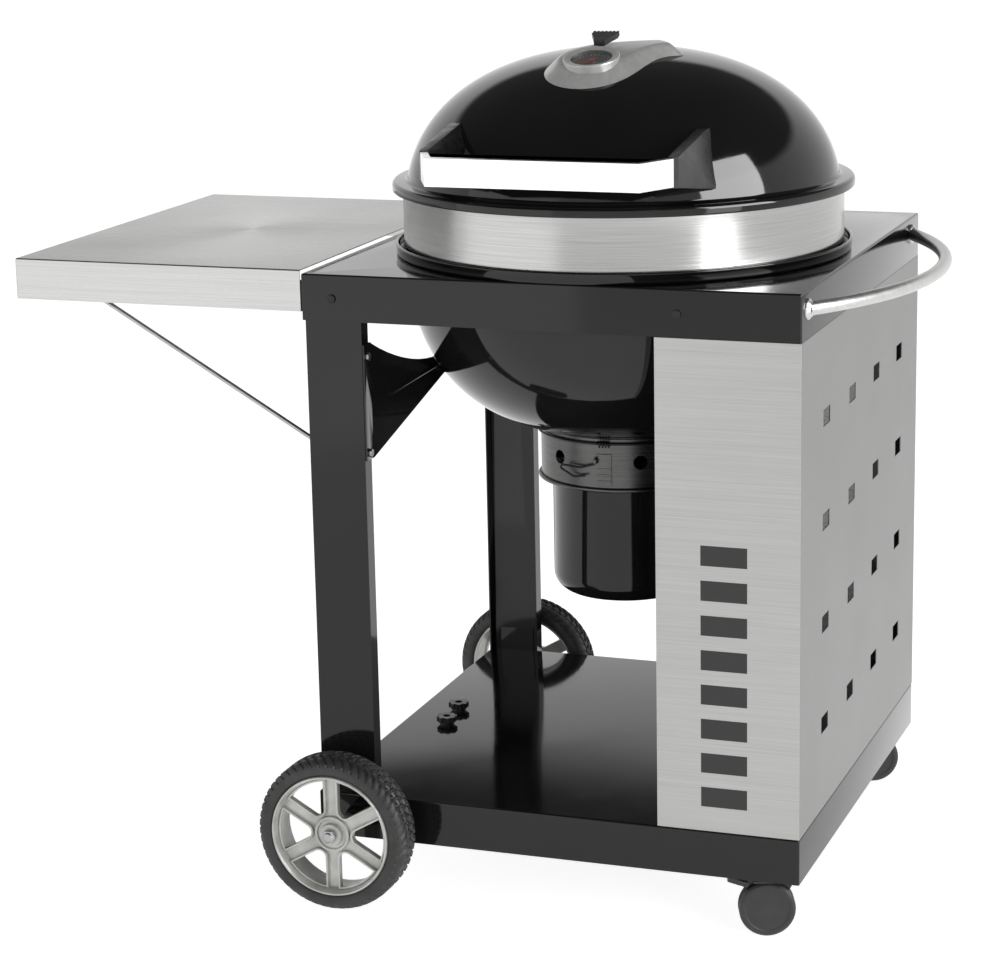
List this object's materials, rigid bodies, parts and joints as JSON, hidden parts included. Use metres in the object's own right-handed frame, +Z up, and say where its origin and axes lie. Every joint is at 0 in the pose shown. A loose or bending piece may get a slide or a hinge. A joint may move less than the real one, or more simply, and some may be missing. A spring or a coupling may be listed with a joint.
{
  "type": "kettle charcoal grill on cart",
  "caption": "Black enamel kettle charcoal grill set in a black steel cart with steel cover panels, a folding steel side shelf, wheels and casters.",
  "frame": {"origin": "centre of the bounding box's underside, on the floor", "axes": "+X towards the side handle and the casters, -X towards the folding shelf and the large wheels, -Y towards the front cover panel and the lid's handle, +Z up"},
  "size_m": [1.1329, 0.798, 1.0859],
  "materials": {
    "cart_paint": "satin",
    "enamel": "gloss",
    "stainless": "satin",
    "zinc": "satin",
    "black_wire": "satin",
    "cast": "matte",
    "tyre_rubber": "matte",
    "rim_plastic": "satin",
    "black_plastic": "matte",
    "dial_card": "matte",
    "needle_paint": "matte",
    "lens_glass": "gloss"
  },
  "bodies": {
    "cart": {"cart_top": "cart_paint", "bottom_shelf": "cart_paint", "leg_front_left": "cart_paint", "leg_back_left": "cart_paint", "leg_front_right": "cart_paint", "leg_back_right": "cart_paint", "front_panel": "stainless", "side_panel": "stainless", "rear_panel": "stainless", "side_handle": "stainless", "bowl_brackets": "cart_paint", "bracket_bolts": "zinc", "apron_screws": "black_wire", "shelf_clips": "black_plastic", "bowl": "enamel", "kettle_band": "stainless", "grate_rests": "stainless", "ash_collar": "stainless", "collar_wire": "black_wire", "latch_plate": "stainless", "lid_hinge_base": "stainless", "shelf_hinge": "cart_paint", "rod_pivot": "cart_paint", "wheel_axle": "zinc", "caster_sockets": "cart_paint"},
    "lid_body": {"lid": "enamel", "lid_grip": "stainless", "lid_grip_mounts": "black_plastic", "lid_hinge_arm": "stainless", "lid_hinge_pin": "stainless", "vent_hood": "stainless", "gauge_case": "stainless", "gauge_dial": "dial_card", "gauge_lens": "lens_glass"},
    "damper": {"vent_damper": "black_plastic"},
    "needle": {"gauge_needle": "needle_paint"},
    "grid": {"cooking_grid": "cast"},
    "flap_left": {"grid_flap_left": "cast"},
    "flap_right": {"grid_flap_right": "cast"},
    "fuel_grate": {"charcoal_grate": "cast"},
    "ash_sweeper": {"sweeper": "cast", "sweeper_grip": "black_plastic"},
    "bucket": {"ash_bucket": "enamel"},
    "latch": {"bucket_latch": "black_wire"},
    "shelf": {"side_shelf": "stainless", "shelf_catch": "cart_paint"},
    "rod": {"shelf_rod": "zinc"},
    "wheel_front": {"tyre_front": "tyre_rubber", "rim_front": "rim_plastic"},
    "wheel_back": {"tyre_back": "tyre_rubber", "rim_back": "rim_plastic"},
    "caster_front": {"caster_fork_front": "black_plastic"},
    "caster_back": {"caster_fork_back": "black_plastic"},
    "roller_front": {"caster_wheel_front": "tyre_rubber"},
    "roller_back": {"caster_wheel_back": "tyre_rubber"},
    "pedal_front": {"caster_brake_front": "black_plastic"},
    "pedal_back": {"caster_brake_back": "black_plastic"}
  },
  "joints": [
    {"name": "lid_open", "type": "hinge", "parent": "cart", "child": "lid_body", "pos_m": [0.158, 0.267, 0.892], "axis": [-1, 0, 0], "range_deg": [0, 90]},
    {"name": "damper_turn", "type": "hinge", "parent": "lid_body", "child": "damper", "pos_m": [0.161, -0.169, 1.04507], "axis": [0, -0.2588, 0.9659], "range_deg": [-28, 0]},
    {"name": "needle_turn", "type": "hinge", "parent": "lid_body", "child": "needle", "pos_m": [0.161, -0.169, 1.04507], "axis": [0, -0.2588, 0.9659], "range_deg": [-270, 0]},
    {"name": "grid_lift", "type": "slide", "parent": "cart", "child": "grid", "axis": [0, 0, 1], "range_m": [0, 0.03]},
    {"name": "flap_left_open", "type": "hinge", "parent": "grid", "child": "flap_left", "pos_m": [-0.0115, -0.041, 0.86], "axis": [0, 1, 0], "range_deg": [0, 85]},
    {"name": "flap_right_open", "type": "hinge", "parent": "grid", "child": "flap_right", "pos_m": [0.3275, -0.041, 0.86], "axis": [0, -1, 0], "range_deg": [0, 85]},
    {"name": "fuel_grate_lift", "type": "slide", "parent": "cart", "child": "fuel_grate", "axis": [0, 0, 1], "range_m": [0, 0.12]},
    {"name": "sweep", "type": "hinge", "parent": "cart", "child": "ash_sweeper", "pos_m": [0.158, -0.041, 0.561], "axis": [0, 0, 1], "range_deg": [0, 60]},
    {"name": "bucket_drop", "type": "slide", "parent": "cart", "child": "bucket", "axis": [0, 0, 1], "range_m": [-0.2, 0]},
    {"name": "latch_swing", "type": "hinge", "parent": "cart", "child": "latch", "pos_m": [0.154, -0.15543, 0.5495], "axis": [0, 0, 1], "range_deg": [0, 80]},
    {"name": "shelf_fold", "type": "hinge", "parent": "cart", "child": "shelf", "pos_m": [-0.1935, 0, 0.765], "axis": [0, 1, 0], "range_deg": [-90, 0]},
    {"name": "rod_fold", "type": "hinge", "parent": "cart", "child": "rod", "pos_m": [-0.1545, 0, 0.579], "axis": [0, 1, 0], "range_deg": [-120.2, 0]},
    {"name": "wheel_front_roll", "type": "hinge", "parent": "cart", "child": "wheel_front", "pos_m": [-0.1275, -0.367, 0.1], "axis": [0, 1, 0], "continuous": true},
    {"name": "wheel_back_roll", "type": "hinge", "parent": "cart", "child": "wheel_back", "pos_m": [-0.1275, 0.367, 0.1], "axis": [0, 1, 0], "continuous": true},
    {"name": "caster_front_swivel", "type": "hinge", "parent": "cart", "child": "caster_front", "pos_m": [0.4315, -0.294, 0.077], "axis": [0, 0, 1], "continuous": true},
    {"name": "caster_front_roll", "type": "hinge", "parent": "caster_front", "child": "roller_front", "pos_m": [0.41646, -0.29947, 0.035], "axis": [-0.342, 0.9397, 0], "continuous": true},
    {"name": "caster_front_brake", "type": "hinge", "parent": "caster_front", "child": "pedal_front", "pos_m": [0.39203, -0.30837, 0.066], "axis": [-0.342, 0.9397, 0], "range_deg": [-12, 0]},
    {"name": "caster_back_swivel", "type": "hinge", "parent": "cart", "child": "caster_back", "pos_m": [0.4315, 0.294, 0.077], "axis": [0, 0, 1], "continuous": true},
    {"name": "caster_back_roll", "type": "hinge", "parent": "caster_back", "child": "roller_back", "pos_m": [0.41646, 0.28853, 0.035], "axis": [-0.342, 0.9397, 0], "continuous": true},
    {"name": "caster_back_brake", "type": "hinge", "parent": "caster_back", "child": "pedal_back", "pos_m": [0.39203, 0.27964, 0.066], "axis": [-0.342, 0.9397, 0], "range_deg": [-12, 0]}
  ],
  "couplings": [
    {"joint": "rod_fold", "follows": "shelf_fold", "ratio": 1.3356}
  ]
}
